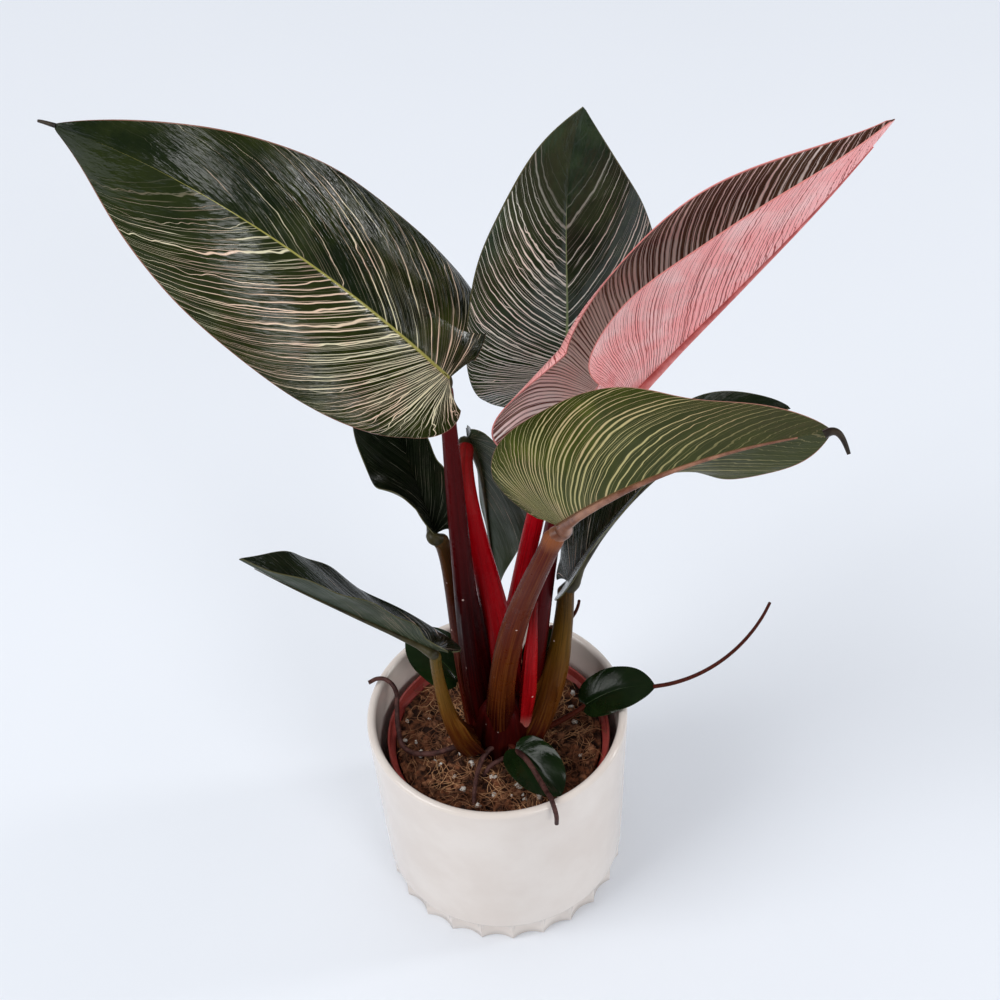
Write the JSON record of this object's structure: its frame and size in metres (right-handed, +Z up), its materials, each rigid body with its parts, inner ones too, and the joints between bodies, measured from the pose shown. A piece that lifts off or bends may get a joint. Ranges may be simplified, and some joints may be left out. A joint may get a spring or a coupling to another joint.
{
  "type": "potted variegated philodendron",
  "caption": "House plant with pin-striped heart-shaped leaves on red and brown stalks, in its plastic nursery pot inside a white glazed cover pot with a fluted foot.",
  "frame": {"origin": "the middle of the cover pot's flat underside", "axes": "+Z points up out of the pot, -Y points to the side from which the large leaves show their striped faces, +X is to the right seen from there"},
  "size_m": [0.3183, 0.2046, 0.4453],
  "materials": {
    "glaze": "warm white glazed stoneware",
    "red_plastic": "dark red thin-walled plastic",
    "soil": "peat and coir with perlite",
    "leaf_dark": "glossy dark green with cream pinstripes",
    "leaf_olive": "olive underside with cream stripes",
    "leaf_pink": "salmon pink young leaf with dark stripes",
    "stalk_crimson": "smooth crimson stalk",
    "stalk_brown": "brown and olive stalk with streaks",
    "root": "matt brown root"
  },
  "bodies": {
    "root": {"cover_pot": "glaze", "nursery_pot": "red_plastic", "soil": "soil", "crown": "stalk_brown", "new_leaf_sheath": "stalk_crimson", "leaf_front_blade": "leaf_olive", "leaf_front_stalk": "stalk_brown", "leaf_right_blade": "leaf_dark", "leaf_right_stalk": "stalk_brown", "leaf_low_left_blade": "leaf_dark", "leaf_low_left_stalk": "stalk_brown", "leaf_hanging_blade": "leaf_dark", "leaf_hanging_stalk": "stalk_crimson", "leaf_left_blade": "leaf_dark", "leaf_left_stalk": "stalk_crimson", "leaf_pink_blade": "leaf_pink", "leaf_pink_stalk": "stalk_crimson", "leaf_rear_left_blade": "leaf_dark", "leaf_rear_left_stalk": "stalk_brown", "leaf_back_blade": "leaf_dark", "leaf_back_stalk": "stalk_crimson", "small_leaf_left": "leaf_dark", "small_leaf_right": "leaf_dark", "small_leaf_front": "leaf_dark", "small_leaf_rear": "leaf_dark", "aerial_root_left": "root", "aerial_root_front": "root", "aerial_root_short": "root", "aerial_root_low": "root"}
  },
  "joints": []
}
